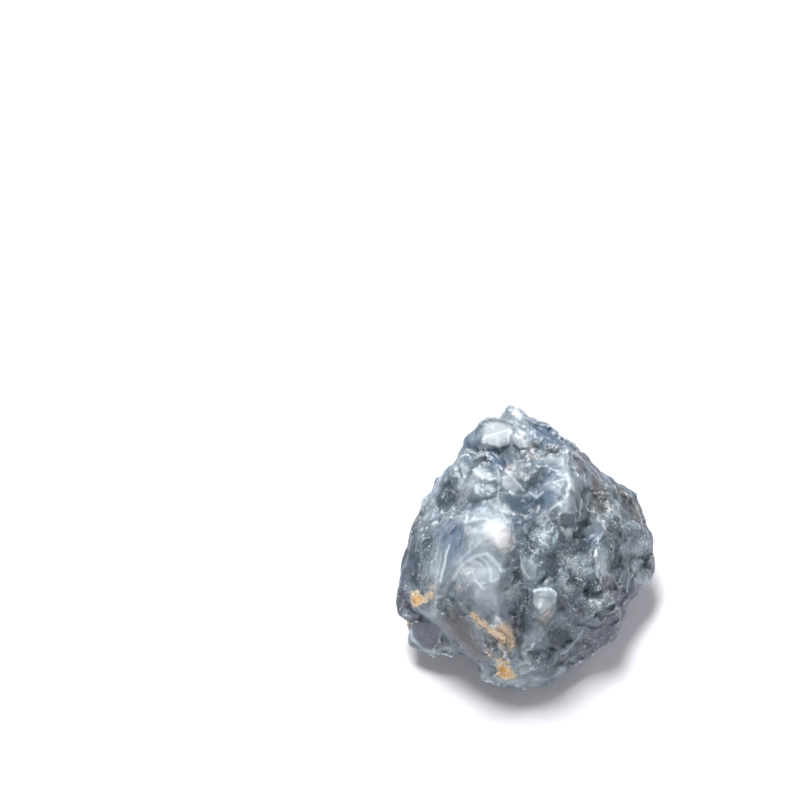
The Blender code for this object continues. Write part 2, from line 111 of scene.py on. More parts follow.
# Ridges and hollows: over how many rounds of smoothing they are read, then softened
RIDGE_ROUNDS = (3, 1)
HOLLOW_ROUNDS = (60, 4)
CLUSTER = 1.3  # the size of a cluster of crumbs
CLUSTER_SPREAD = (0.5, 2.5)
RIDGE_CRUMBS = (0.3, 0.05)  # the share of crumbs off the ridges, and how high a ridge adds a whole share

# Crumbs: the attribute they lie by, how many on a square metre, least and greatest size, whiteness, seed
WHITE_CRUMBS = ("crumbly", 2000000.0, 0.13 * MM, 0.36 * MM, 0.8, 4)
STAIN_CRUMBS = ("stain", 2000000.0, 0.15 * MM, 0.38 * MM, 0.1, 7)
CRUMB_PRESS = 0.45  # a crumb's height as a share of a whole split cube's
CRUMB_TIP = 0.5  # how far a crumb is tipped at most, in radians

# How the marks are bent by noise: the size of its waves, how far it reaches, and its place
WIDE_BEND = (3.5, 1.5, Vector((3, 1, 4)))
FINE_BEND = (1.1, 0.5, Vector((1, 5, 9)))
VEIL_BEND = (4.0, 0.35, Vector((2, 6, 5)))
EDGE_BEND = (1.5, 0.3, Vector((7, 2, 1)))
PATH_STEP = 4  # pixels between the points of a mark's way, about a millimetre
MARK_REACH = 2.5  # how many radii away a mark still shows
MARK_SEED = 11
POINT_SPAN = 1e-6  # the length that a mark of one point is given
LEAST_SPAN = 1e-9  # the least square length to divide by

# Marks out of sight: how far their points face away, and how they fade, turn and step
OUT_OF_SIGHT = -0.05
UNSEEN_FADE = (0.6, 1.0)
UNSEEN_TURN = 0.12
UNSEEN_STEP = 1.6

# The stone's colours, in linear light; the teal and lilac also serve as painted shade
BODY = (0.145, 0.190, 0.230)
TINTS = {
    "blue": (0.082, 0.134, 0.212),
    "slate": (0.060, 0.097, 0.140),
    "teal": (0.028, 0.049, 0.068),
    "lilac": (0.070, 0.077, 0.114),
    "smoke": (0.087, 0.083, 0.079),
    "milk": (0.375, 0.430, 0.470),
    "cream": (0.700, 0.600, 0.530),
}
VEIL = (0.60, 0.65, 0.69)
WHITE = (0.74, 0.77, 0.80)
STAIN_PALE = (0.74, 0.57, 0.38)
STAIN_OCHRE = (0.66, 0.36, 0.07)
STAIN_RUST = (0.36, 0.11, 0.015)

# The material's noises: waves in a millimetre, octaves and roughness
NOISES = {
    "warp": (0.3, 2.0, 0.55),
    "cloud": (0.32, 3.0, 0.5),
    "mottle": (1.1, 5.0, 0.6),
    "ripple": (0.42, 4.0, 0.55),
    "ripple zone": (0.22, 2.0, 0.55),
    "drawn veil": (0.9, 4.0, 0.6),
    "white": (1.2, 4.0, 0.6),
    "bruise": (1.7, 5.0, 0.7),
    "sugar": (0.8, 4.0, 0.7),
    "crust": (1.6, 6.0, 0.75),
    "ochre": (2.2, 5.0, 0.75),
    "rust": (2.6, 4.0, 0.7),
    "gloss": (0.9, 4.0, 0.55),
    "fine": (2.0, 5.0, 0.6),
    "broad": (0.7, 3.0, 0.5),
    "grit": (5.0, 3.0, 0.55),
}
RIPPLE_TWIST = 0.3
WARP = 2.5  # how far the slow noise bends the clouds and facets, in millimetres
CELLS = {"facets": 0.55, "flats": 1.5, "grains": 3.0}  # in a millimetre
LEANS = {"facets": 0.12, "flats": 0.13, "sugar": 0.38}  # how far their normals lean
# Soft steps: the values at which each is 0 and 1
STEPS = {
    "hollow_shade": (0.05, 0.5),
    "ripple": (0.0, 0.030),
    "ripple zone": (0.45, 0.62),
    "drawn veil": (0.05, 0.85),
    "white": (0.10, 0.95),
    "ridge": (0.030, 0.12),
    "bruise": (0.42, 0.58),
    "sugar": (0.47, 0.60),
    "grain_and_glint": (0.78, 0.86),
    "gap": (0.30, 0.22),
    "crust": (0.12, 0.80),
    "stain": (0.03, 0.30),
    "ochre": (0.70, 1.45),
    "rust": (0.45, 1.0),
}
# The two values that a noise or an attribute moves each between
SPANS = {
    "cloud": (0.50, 1.50),
    "facet": (0.30, 0.65),
    "drawn veil": (0.45, 1.55),
    "white": (0.25, 1.0),
    "grain_and_glint": (0.05, 0.95),
    "rust": (0.70, 1.15),
    "gloss": (0.22, 0.50),
}
# How much each counts for
SHARES = {
    "smooth": 0.85,
    "mottle": 0.9,
    "hollow_shade": 0.45,
    "ripple": 0.30,
    "drawn veil": 0.92,
    "veil": 0.8,
    "white": 0.92,
    "bruise": 0.75,
    "gap": 0.60,
    "crust noise": 1.2,
    "crust grain": 0.35,
    "ochre noise": 1.6,
    "rust depth": 0.6,
    "rust noise": 1.4,
    "crust": 0.95,
    "matt": 0.30,
    "grit": 0.5,
}
BUMP_STRENGTH = 0.35
BUMP_DEPTH = 0.0003
CALCITE_IOR = 1.58
GLOW = 0.7  # the share of light that passes under the skin
GLOW_REACH = (0.8, 1.0, 1.2)  # how far red, green and blue light reach, in shares of the depth
GLOW_DEPTH = 0.0009

# Where the stone's markings lie: radius in millimetres, strength, and the way that each runs, by the
# pixels of the picture that it shows at. Some of them paint shade or light into the colour, as noted at
# each.
MARKS = {
    "blue": [
        (1.6, 0.8, (491, 455), (498, 462), (503, 467)),
        (2.6, 0.9, (447, 533), (459, 533), (459, 544), (449, 546)), (2.4, 0.9, (455, 556), (465, 558)),
        (2.0, 0.7, (514, 520)), (2.0, 0.6, (535, 500), (546, 498)), (3.0, 0.6, (541, 436), (555, 442)),
        (2.2, 0.6, (433, 638)), (2.6, 0.5, (505, 606), (497, 596)), (3.0, 0.5, (545, 480), (556, 470)),
        (2.0, 0.5, (600, 545), (590, 540)),
    ],
    # Dark teal marks: partly the stone's own dark blue, partly painted shade in pits, creases and grooves,
    # under ledges and along the left side
    "teal": [
        (1.9, 0.9, (445, 495), (452, 501), (460, 499)), (2.4, 0.3, (505, 490), (515, 487)),
        (1.6, 0.7, (446, 486)), (3.4, 0.85, (411, 550), (417, 562), (418, 577)),
        (2.4, 0.6, (427, 538), (424, 556)), (2.2, 0.5, (583, 497), (581, 512)),
        (1.6, 0.8, (552, 562), (557, 580), (556, 598)), (1.5, 0.8, (420, 583)),
        (1.5, 0.9, (616, 535), (610, 541), (612, 547)), (2.0, 1.0, (616, 561), (621, 566)),
        (1.5, 0.9, (588, 594), (600, 584), (612, 588)), (0.5, 1.0, (592, 556), (596, 573)),
        (1.5, 0.9, (575, 578), (579, 583)), (2.6, 1.0, (551, 633), (564, 640)),
        (1.8, 0.8, (547, 622), (552, 650)), (1.7, 0.8, (552, 556), (556, 592)),
        (1.4, 0.9, (576, 524), (589, 521)), (1.2, 1.0, (575, 537), (582, 542)),
        (2.0, 0.8, (557, 515), (568, 521)), (1.4, 0.8, (516, 640), (518, 622)),
        (1.4, 0.7, (519, 556), (521, 585)), (1.5, 0.7, (504, 582), (512, 592)),
        (1.6, 0.5, (470, 600), (455, 603)), (1.5, 0.7, (624, 502), (629, 518)), (1.2, 0.8, (626, 496)),
        (1.4, 0.6, (648, 556), (650, 566)), (1.6, 0.6, (530, 540), (528, 548)),
        (1.6, 0.6, (585, 612), (575, 625)), (1.0, 0.8, (578, 646), (571, 655)),
        (1.6, 0.7, (527, 618), (523, 630)),
    ],
    # Lilac marks: partly the stone's grey-purple, partly painted shade on the faces turned down and away
    # from the lamps
    "lilac": [
        (6.0, 0.85, (608, 625), (598, 642)), (4.0, 0.8, (620, 600), (632, 590)),
        (4.0, 0.6, (590, 650), (560, 668), (545, 675)), (4.2, 0.9, (418, 622), (425, 645)),
        (3.4, 0.7, (585, 468), (600, 486)), (3.2, 0.6, (640, 565), (645, 580)),
        (2.6, 0.7, (404, 560), (400, 590), (405, 608)), (3.0, 0.5, (420, 520), (413, 537)),
        (3.2, 0.6, (562, 600), (580, 615)), (3.0, 0.6, (565, 545), (560, 560)),
        (3.0, 0.6, (640, 520), (648, 540)), (3.4, 0.6, (515, 605), (510, 625)),
    ],
    "smoke": [
        (4.5, 0.9, (453, 622), (465, 640)), (2.2, 1.0, (598, 486), (600, 506)),
        (3.0, 0.9, (478, 655), (470, 648)), (3.0, 0.7, (440, 642)), (2.3, 0.9, (595, 485), (598, 502)),
        # The smoke mark at (530, 650) is painted shade at the foot of the column
        (2.2, 0.8, (595, 512)), (2.4, 0.3, (520, 460), (530, 478)), (1.6, 0.8, (530, 650)),
        (1.5, 0.8, (553, 612), (548, 621)), (2.4, 0.8, (620, 490), (632, 505), (634, 516)),
    ],
    "milk": [
        (3.8, 0.9, (497, 524), (484, 536)), (2.8, 0.9, (498, 510), (480, 513)),
        (1.8, 0.7, (468, 520), (486, 519)), (2.2, 0.7, (478, 545), (490, 548)),
        (2.0, 0.9, (480, 470), (484, 475)), (1.6, 0.8, (457, 467), (462, 477)), (1.2, 0.8, (473, 484)),
        (2.6, 0.8, (520, 428), (528, 446)), (3.2, 1.0, (490, 432), (505, 432)),
        (1.8, 0.8, (512, 413), (517, 419)), (1.5, 0.8, (512, 467)),
        (2.0, 0.8, (545, 453), (560, 462), (567, 480)), (1.3, 0.9, (567, 498), (567, 513)),
        (1.6, 0.6, (538, 518), (552, 512)), (2.0, 0.6, (440, 478), (432, 490)),
        (1.5, 0.6, (435, 504), (424, 515)), (1.7, 0.7, (437, 550), (438, 580)),
        (0.8, 0.6, (446, 552), (443, 577)), (3.2, 0.95, (463, 570), (480, 575)),
        (2.2, 0.85, (494, 563), (492, 582)), (3.4, 0.75, (478, 590), (503, 597)),
        (1.6, 0.9, (503, 681), (520, 682), (537, 680)), (1.2, 0.7, (539, 608)), (1.2, 0.6, (553, 600)),
        (1.6, 0.7, (530, 563), (532, 575)), (1.6, 0.8, (568, 560), (586, 565)),
        (1.1, 1.0, (601, 556), (606, 567)), (1.4, 0.7, (610, 514), (618, 508)),
        (1.8, 0.7, (594, 526), (601, 530)), (1.8, 0.6, (636, 566), (638, 580)),
        (2.4, 0.45, (638, 545), (642, 560)), (1.6, 0.7, (545, 523), (545, 536)),
        (1.5, 0.8, (530, 640), (527, 646)), (1.3, 0.8, (592, 602), (608, 596)),
        (1.2, 0.9, (480, 668), (490, 680)), (0.9, 0.6, (546, 679), (560, 669), (574, 663)),
        (1.1, 1.0, (411, 628), (414, 640), (424, 648), (436, 652), (445, 648)),
        (1.4, 0.6, (556, 490), (548, 487)), (1.4, 0.7, (498, 618), (499, 627)),
        (1.2, 0.6, (567, 578), (569, 590)), (1.0, 0.6, (442, 600), (436, 611), (424, 615)),
        (1.6, 0.6, (524, 660), (526, 668)),
    ],
    "cream": [
        (2.2, 0.45, (501, 534), (504, 541)), (0.9, 0.6, (507, 464), (514, 472)),
        (1.0, 0.3, (526, 452), (532, 456)), (1.2, 0.5, (429, 587), (435, 589)),
        (2.2, 0.8, (500, 633), (506, 641)), (1.2, 0.4, (548, 612), (552, 618)),
    ],
    "white": [
        # The first two white marks, the star on the dome, are partly white fractures inside the stone and
        # partly a painted highlight
        (3.0, 0.62, (501, 519), (492, 530), (499, 536)), (1.4, 0.7, (499, 524), (495, 531)),
        (1.2, 0.5, (490, 522), (478, 519), (468, 521)), (1.2, 0.5, (488, 529), (475, 532), (466, 531)),
        (1.2, 0.45, (489, 536), (478, 541), (470, 548)), (1.0, 0.4, (498, 516), (494, 506)),
        (1.2, 0.6, (523, 438), (527, 447)), (0.9, 0.8, (525, 433)), (3.0, 0.35, (466, 570), (488, 572)),
        (2.0, 0.45, (476, 470), (482, 476)), (0.9, 0.8, (513, 412), (518, 416)),
        (0.55, 1.0, (464, 574), (470, 573), (477, 574)), (0.45, 0.7, (472, 569), (477, 572)),
        (0.4, 0.9, (501, 567), (504, 573)), (0.35, 0.6, (489, 588), (491, 592)),
        (0.7, 0.9, (542, 599), (540, 608)), (0.45, 1.0, (575, 530), (580, 534), (586, 537)),
        (0.35, 0.9, (594, 518), (600, 521), (608, 523)), (0.5, 0.9, (601, 553), (602, 565)),
        (0.6, 0.9, (569, 559)), (0.5, 0.8, (567, 577), (568, 588)),
        # The white mark from (592, 602) to (598, 602) lies on a ledge: partly white specks, partly painted
        # light along the ledge
        (0.35, 0.9, (577, 574), (582, 580), (585, 585)), (0.7, 0.8, (592, 602), (598, 602)),
        (0.6, 0.9, (435, 524)), (0.4, 0.8, (426, 550), (425, 559)), (0.35, 0.8, (427, 578), (428, 583)),
        (0.5, 0.9, (498, 617), (498, 625)), (0.4, 0.9, (460, 604), (464, 606)), (0.4, 0.9, (498, 603)),
        (0.35, 0.9, (445, 594)), (0.6, 0.9, (616, 512), (619, 508)), (0.4, 0.9, (611, 509)),
        (0.5, 0.7, (566, 528), (570, 539)), (0.5, 0.7, (489, 680), (495, 682)), (0.5, 0.6, (524, 664)),
        (0.4, 0.8, (573, 610)), (0.4, 0.7, (536, 657)),
    ],
    "veil": [
        (0.5, 0.5, (492, 521), (475, 518), (460, 516), (445, 518), (432, 525)),
        (0.6, 0.4, (490, 535), (478, 545), (467, 553), (459, 562)),
        (0.35, 0.5, (470, 512), (455, 510), (440, 513), (430, 519)),
        (0.28, 0.6, (463, 500), (455, 493), (449, 490)),
        (0.6, 0.6, (484, 554), (474, 556), (466, 562), (458, 570), (452, 580)),
        (0.48, 0.75, (486, 553), (491, 557), (496, 562), (500, 567), (504, 572)),
        (0.44, 0.65, (478, 556), (484, 560), (488, 565), (491, 571), (491, 579)),
        (0.38, 0.6, (474, 561), (480, 564), (484, 569)),
        (0.4, 0.7, (461, 573), (465, 570), (470, 568), (475, 569)),
        (0.34, 0.8, (476, 580), (480, 584), (484, 589)),
        (0.36, 1.0, (449, 546), (446, 556), (444, 568), (441, 581)),
        (0.45, 0.4, (437, 548), (433, 562), (432, 576)), (0.3, 0.5, (441, 552), (439, 566), (437, 578)),
        (0.4, 0.9, (506, 470), (514, 480), (523, 490)),
        (0.35, 0.7, (498, 470), (500, 485), (498, 498), (503, 512), (507, 521)),
        (0.4, 0.7, (529, 492), (537, 497), (543, 493)), (0.45, 0.8, (550, 509), (556, 505), (564, 501)),
        (0.4, 0.6, (539, 517), (546, 511), (554, 513)), (0.35, 0.5, (544, 485), (552, 482), (561, 487)),
        (0.45, 0.6, (565, 445), (568, 458), (568, 468)), (0.4, 0.6, (569, 478), (569, 490)),
        (0.4, 0.5, (568, 500), (566, 511)), (0.35, 0.7, (580, 500), (580, 515), (577, 525), (571, 533)),
        (0.3, 0.6, (592, 495), (587, 508), (591, 520)), (0.25, 0.7, (584, 463), (595, 475), (606, 488)),
        (0.25, 0.7, (590, 466), (600, 476), (609, 486)), (0.25, 0.6, (572, 452), (576, 468), (573, 482)),
        (0.25, 0.6, (580, 458), (586, 474), (584, 486)), (0.35, 0.6, (518, 422), (512, 432), (514, 443)),
        (0.35, 0.6, (635, 505), (640, 516), (643, 531)), (0.3, 0.6, (647, 532), (650, 546), (651, 562)),
        (0.45, 0.5, (583, 631), (576, 642), (568, 650), (562, 656)),
        (0.4, 0.4, (591, 648), (578, 655), (565, 664)), (0.35, 0.7, (521, 556), (522, 568), (529, 579)),
        (0.4, 0.6, (594, 553), (597, 566), (598, 577)), (0.35, 0.6, (613, 573), (618, 583), (622, 590)),
        (0.35, 0.6, (627, 568), (629, 580), (628, 592)), (0.35, 0.7, (536, 532), (541, 541), (548, 548)),
    ],
    "sugar": [
        (2.2, 0.9, (485, 456)), (2.4, 0.9, (604, 495), (614, 512), (612, 522)),
        (4.0, 0.8, (572, 556), (580, 585)), (3.0, 0.9, (530, 549), (545, 552)),
        (3.4, 0.9, (590, 603), (607, 594)), (3.2, 0.8, (545, 524), (540, 540)),
        (3.2, 0.8, (640, 552), (646, 565)), (2.4, 0.7, (430, 540), (425, 556)),
        (2.4, 0.7, (518, 575), (525, 600), (524, 612)), (2.4, 0.5, (568, 608), (578, 603)),
        (2.4, 0.5, (525, 662), (545, 655)), (2.2, 0.8, (424, 580)), (3.4, 0.5, (562, 548)),
        (2.6, 0.7, (612, 542), (600, 548)), (4.5, 0.35, (605, 622), (585, 640)),
        (3.4, 0.3, (515, 681), (550, 670)), (2.6, 0.6, (505, 642), (488, 650)),
        (3.0, 0.6, (570, 450), (535, 455)), (2.2, 0.4, (505, 468), (520, 470)),
    ],
    "stain": [
        (1.5, 1.3, (411, 599), (417, 600), (423, 599)), (1.0, 0.8, (418, 605), (412, 604)),
        (1.0, 0.7, (427, 597), (433, 599)), (0.9, 0.35, (428, 588), (435, 589)),
        (1.1, 0.4, (455, 587), (463, 590)), (0.6, 0.55, (440, 621)),
        (1.4, 0.75, (476, 614), (481, 620), (486, 627)), (1.2, 0.8, (488, 631), (495, 634)),
        (2.4, 0.9, (500, 633), (506, 641)), (1.0, 0.55, (486, 652), (493, 656), (501, 655)),
        (1.1, 0.65, (499, 661), (507, 662)), (1.9, 1.0, (504, 667), (505, 675)), (1.0, 0.8, (499, 673)),
        (0.9, 0.35, (625, 551), (630, 549)), (0.8, 0.3, (606, 503), (609, 508)),
        (0.7, 0.3, (526, 602), (530, 606)),
    ],
    "rust": [
        (0.8, 1.0, (416, 603)), (1.4, 0.35, (412, 599), (421, 600)), (1.3, 0.7, (504, 669), (503, 674)),
    ],
    "smooth": [
        (4.2, 1.0, (448, 558), (470, 556), (488, 570)), (3.2, 1.0, (495, 590), (480, 600)),
        (3.6, 0.9, (453, 628), (470, 645)), (2.6, 0.9, (426, 640)), (3.0, 0.8, (490, 612), (500, 600)),
        (2.6, 1.0, (490, 432), (503, 434)), (2.6, 0.8, (541, 436), (552, 441)), (2.0, 0.8, (531, 568)),
        (1.8, 0.8, (545, 600)), (4.0, 0.45, (612, 622), (600, 640)), (3.2, 0.8, (480, 530), (490, 540)),
        (3.0, 0.7, (440, 560), (440, 575)), (1.6, 0.8, (603, 560)), (2.4, 0.6, (530, 640), (535, 625)),
        (3.6, 0.7, (515, 486), (520, 506)), (3.0, 0.6, (545, 488), (552, 503)),
        (3.0, 0.5, (470, 490), (480, 505)), (3.0, 0.5, (547, 460)),
    ],
    "slate": [
        (3.0, 0.9, (515, 501), (529, 512)),
    ],
}

# Faces and patches with a clean outline: their look and its strength, how far their flat stands out in
# millimetres (None where they aren't cut flat), and their corners by the pixels of the picture. The teal
# patches that are cut in are painted shade in pits and under ledges.
PATCHES = [
    # The white facet at the peak: partly a whitish cleavage face, partly painted light on a face turned to
    # the lamps
    ("white", 0.6, 0.15,
     (483, 422), (490, 420), (503, 421), (513, 425), (511, 436), (509, 445), (500, 447), (482, 445)),
    ("milk", 0.9, 0.05, (516, 425), (526, 430), (531, 441), (530, 447), (520, 448), (513, 443)),
    ("blue", 0.65, 0.1, (532, 424), (547, 427), (557, 435), (565, 444), (556, 450), (543, 449), (534, 441)),
    ("milk", 0.8, None, (509, 411), (517, 410), (523, 414), (522, 420), (512, 419)),
    ("blue", 1.0, -0.1, (486, 450), (497, 449), (503, 457), (506, 467), (503, 471), (493, 466), (485, 459)),
    ("teal", 0.7, None,
     (440, 492), (443, 484), (451, 481), (454, 489), (464, 497), (464, 503), (458, 506), (447, 508),
     (437, 509), (435, 500)),
    ("milk", 0.9, 0.05, (473, 470), (480, 464), (486, 470), (488, 478), (483, 481), (476, 477)),
    ("milk", 0.6, 0.05, (455, 463), (464, 465), (468, 470), (465, 480), (461, 482), (457, 474)),
    ("slate", 0.9, None, (503, 494), (516, 496), (533, 498), (534, 515), (526, 522), (512, 521), (510, 508)),
    ("milk", 0.15, 0.05, (500, 478), (508, 474), (522, 489), (514, 491), (502, 489)),
    ("teal", 0.55, 0.05, (553, 518), (558, 513), (575, 514), (577, 520), (572, 527), (560, 527)),
    ("teal", 0.9, -0.3, (576, 526), (580, 521), (592, 518), (590, 526), (582, 528)),
    ("milk", 0.8, 0.15, (561, 529), (572, 529), (570, 536), (567, 540), (563, 534)),
    ("lilac", 0.2, 0.1, (592, 521), (603, 523), (606, 531), (598, 535), (590, 529)),
    ("milk", 0.45, 0.1, (578, 528), (590, 526), (595, 534), (588, 538), (580, 533)),
    ("teal", 1.0, -0.35, (611, 562), (615, 556), (622, 554), (626, 558), (625, 566), (617, 569), (611, 569)),
    ("teal", 0.8, -0.2, (607, 534), (616, 532), (625, 534), (628, 541), (620, 546), (609, 543)),
    ("milk", 0.85, 0.1, (566, 556), (577, 556), (579, 566), (590, 566), (595, 570), (580, 571), (566, 568)),
    ("milk", 0.8, 0.1, (563, 588), (571, 583), (576, 589), (570, 593), (564, 593)),
    ("teal", 1.0, -0.25, (571, 577), (576, 575), (582, 583), (578, 588), (573, 584)),
    ("teal", 0.95, -0.2, (602, 577), (611, 576), (615, 582), (619, 590), (606, 589), (596, 590)),
    ("teal", 0.9, -0.15, (584, 594), (590, 590), (600, 591), (600, 598), (586, 599)),
    ("teal", 0.5, 0.0, (621, 571), (629, 569), (629, 580), (626, 589), (620, 584)),
    ("milk", 0.95, 0.1, (599, 552), (604, 556), (606, 566), (602, 575), (598, 568)),
    # A white ledge: partly its own white specks, partly painted light along it
    ("white", 0.62, None, (588, 599), (599, 600), (603, 605), (593, 606)),
    ("milk", 0.76, 0.1,
     (533, 592), (541, 588), (550, 588), (556, 594), (555, 600), (549, 607), (541, 613), (536, 607)),
    ("milk", 0.5, 0.2, (521, 559), (529, 560), (536, 566), (536, 574), (531, 581), (526, 577), (521, 568)),
    ("teal", 1.0, -0.05, (548, 632), (557, 628), (570, 630), (572, 640), (562, 648), (550, 645)),
    ("milk", 0.4, 0.05, (523, 636), (528, 634), (534, 641), (533, 648), (526, 648)),
    # Partly grey-purple, partly painted shade on the lower left lobe
    ("lilac", 0.7, 0.05, (411, 622), (425, 618), (440, 628), (442, 644), (434, 651), (420, 646), (412, 637)),
]
PATCH_EDGE = 1.8  # how many pixels a patch's edge is soft over
PATCH_CORE = 0.5  # the share above which a point counts for the plane of a patch
PATCH_CUT = 0.5  # how far a patch is cut at most, in millimetres
PATCH_FACING = 4  # how fast a patch fades in as the skin turns to the camera
PATCH_CLEARS = 0.7  # how much of its own kind of mark a patch replaces
PATCH_HIDES = 0.8  # how much of the other tints it covers
PATCH_SMOOTH = 0.7  # how smooth a flat patch is

# What the sides out of sight have: how many marks of each kind, their least and greatest radius,
# strength, and how many steps each runs on for
UNSEEN_MARKS = {
    "blue": (16, (2.0, 5.0), 0.8, 2),
    "teal": (14, (1.4, 3.0), 0.8, 3),
    "lilac": (12, (3.0, 6.0), 0.8, 2),
    "smoke": (7, (2.0, 4.5), 0.8, 2),
    "milk": (34, (1.0, 3.6), 0.9, 3),
    "cream": (6, (0.8, 1.8), 0.6, 2),
    "white": (26, (0.4, 1.3), 0.9, 2),
    "veil": (34, (0.3, 0.7), 0.6, 5),
    "sugar": (16, (2.0, 4.5), 0.8, 2),
    "stain": (12, (0.6, 1.4), 0.8, 2),
    "rust": (3, (0.5, 1.0), 0.9, 1),
    "smooth": (10, (2.5, 4.5), 0.9, 2),
    "slate": (10, (1.5, 4.0), 0.8, 2),
}


def clear_default_scene():
    for obj in list(bpy.data.objects):
        if obj.name in ("Cube", "Camera", "Light"):
            bpy.data.objects.remove(obj, do_unlink=True)


def placed(name, data):
    made = bpy.data.objects.new(name, data)
    bpy.context.scene.collection.objects.link(made)
    return made


def make_plain(obj):
    """What its modifiers make of it becomes its own mesh."""
    graph = bpy.context.evaluated_depsgraph_get()
    plain = bpy.data.meshes.new_from_object(obj.evaluated_get(graph))
    obj.modifiers.clear()
    obj.data = plain
    print(obj.name, "points", len(plain.vertices), "faces", len(plain.polygons))


def make_camera():
    data = bpy.data.cameras.new("camera")
    data.lens = LENS
    data.sensor_width = SENSOR
    camera = placed("camera", data)
    bpy.context.scene.camera = camera
    back = Vector(SIGHT_WAY)
    camera.location = AIM + back * DISTANCE
    yaw = math.atan((AIM_PIXEL[0] - PICTURE / 2) * PIXEL)
    pitch = math.atan((AIM_PIXEL[1] - PICTURE / 2) * PIXEL)
    turn = back.to_track_quat("Z", "Y").to_matrix()
    turn = turn @ Matrix.Rotation(yaw, 3, "Y") @ Matrix.Rotation(pitch, 3, "X")
    camera.rotation_mode = "QUATERNION"
    camera.rotation_quaternion = turn.to_quaternion()
    return camera


def area_light(name, place, target, size, power):
    data = bpy.data.lights.new(name, "AREA")
    data.shape = "DISK"
    data.size = size
    data.energy = power
    light = placed(name, data)
    light.location = place
    light.rotation_mode = "QUATERNION"
    light.rotation_quaternion = (Vector(place) - Vector(target)).to_track_quat("Z", "Y")


def make_studio():
    bpy.ops.mesh.primitive_plane_add(size=TABLE_SIZE, location=(0, 0, 0))
    table = bpy.context.object
    table.name = "table"
    material = bpy.data.materials.new("white_table")
    material.use_nodes = True
    shader = material.node_tree.nodes["Principled BSDF"]
    shader.inputs["Base Color"].default_value = TABLE_WHITE
    shader.inputs["Roughness"].default_value = TABLE_ROUGHNESS
    shader.inputs["Specular IOR Level"].default_value = TABLE_SHINE
    table.data.materials.append(material)
    world = bpy.data.worlds.new("soft_room")
    bpy.context.scene.world = world
    world.use_nodes = True
    world.node_tree.nodes["Background"].inputs["Color"].default_value = ROOM_COLOUR
    world.node_tree.nodes["Background"].inputs["Strength"].default_value = ROOM_STRENGTH
    for name, (place, target, size, power) in LIGHTS.items():
        area_light(name, place, target, size, power)
    bpy.context.scene.view_settings.view_transform = "Standard"


def points_of(mesh):
    """Vertex places in millimetres, and their outward normals."""
    mesh.update()
    places = np.empty(len(mesh.vertices) * 3)
    mesh.vertices.foreach_get("co", places)
    normals = np.empty(len(mesh.vertices) * 3)
    mesh.vertex_normals.foreach_get("vector", normals)
    return places.reshape(-1, 3) / MM, normals.reshape(-1, 3)


def put_points(mesh, places):
    mesh.vertices.foreach_set("co", (places * MM).ravel())
    mesh.update()


def neighbours(mesh):
    """The two ends of every edge, and how many edges meet at each vertex."""
    edges = np.empty(len(mesh.edges) * 2, dtype=np.int64)
    mesh.edges.foreach_get("vertices", edges)
    one, two = edges.reshape(-1, 2).T
    size = len(mesh.vertices)
    return one, two, np.bincount(one, minlength=size) + np.bincount(two, minlength=size)


def neighbour_mean(values, links):
    """For each vertex, the mean of its neighbours' values."""
    one, two, counts = links
    columns = values.reshape(len(values), -1)
    mean = np.empty_like(columns)
    for k in range(columns.shape[1]):
        mean[:, k] = np.bincount(one, columns[two, k], len(columns))
        mean[:, k] += np.bincount(two, columns[one, k], len(columns))
    return (mean / counts[:, None]).reshape(values.shape)


def softened(values, links, rounds):
    for _ in range(rounds):
        values = 0.5 * values + 0.5 * neighbour_mean(values, links)
    return values


def relaxed(mesh, links, rounds, pull, push):
    """Each point drawn towards the mean of its neighbours, then pushed back."""
    places, _ = points_of(mesh)
    for step in [pull, -push] * rounds:
        places += step * (neighbour_mean(places, links) - places)
    put_points(mesh, places)


def tree_of(places):
    tree = KDTree(len(places))
    for index, place in enumerate(places):
        tree.insert(place, index)
    tree.balance()
    return tree


def make_skin():
    """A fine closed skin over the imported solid."""
    mesh = frame["nodes"][STONE].data.copy()
    mesh.name = "calcite_skin"
    stone = placed("calcite_lump", mesh)
    weld = stone.modifiers.new("weld", "WELD")
    weld.merge_threshold = WELD_GAP
    skin = stone.modifiers.new("skin", "REMESH")
    skin.mode = "VOXEL"
    skin.voxel_size = SKIN_GRAIN
    make_plain(stone)
    return stone


def on_skin(camera, solid, pixel):
    """Where the sight line through a pixel of the picture meets the stone, in millimetres."""
    across = (pixel[0] - PICTURE / 2) * PIXEL
    up = (PICTURE / 2 - pixel[1]) * PIXEL
    way = camera.rotation_quaternion @ Vector((across, up, -1)).normalized()
    hit = solid.ray_cast(camera.location, way)[0]
    if hit is None:
        print("a mark misses the stone:", pixel)
        return None
    return np.array(hit) / MM


def seen_line(camera, solid, path):
    """Points on the stone under a path of the picture."""
    line = [on_skin(camera, solid, path[0])]
    for start, end in zip(path, path[1:]):
        steps = max(1, round(math.dist(start, end) / PATH_STEP))
        for k in range(1, steps + 1):
            share = k / steps
            pixel = [a + share * (b - a) for a, b in zip(start, end)]
            line.append(on_skin(camera, solid, pixel))
    return np.array([point for point in line if point is not None])


def unseen_line(rng, places, tree, hidden, steps):
    """Points on the stone that wander from a place out of sight."""
    here = places[rng.choice(hidden)]
    way = rng.normal(0, 1, 3)
    line = [here]
    for _ in range(steps):
        way = way / np.linalg.norm(way) + rng.normal(0, UNSEEN_TURN, 3)
        _, index, _ = tree.find(here + UNSEEN_STEP * way / np.linalg.norm(way))
        here = places[index]
        line.append(here)
    return np.array(line)


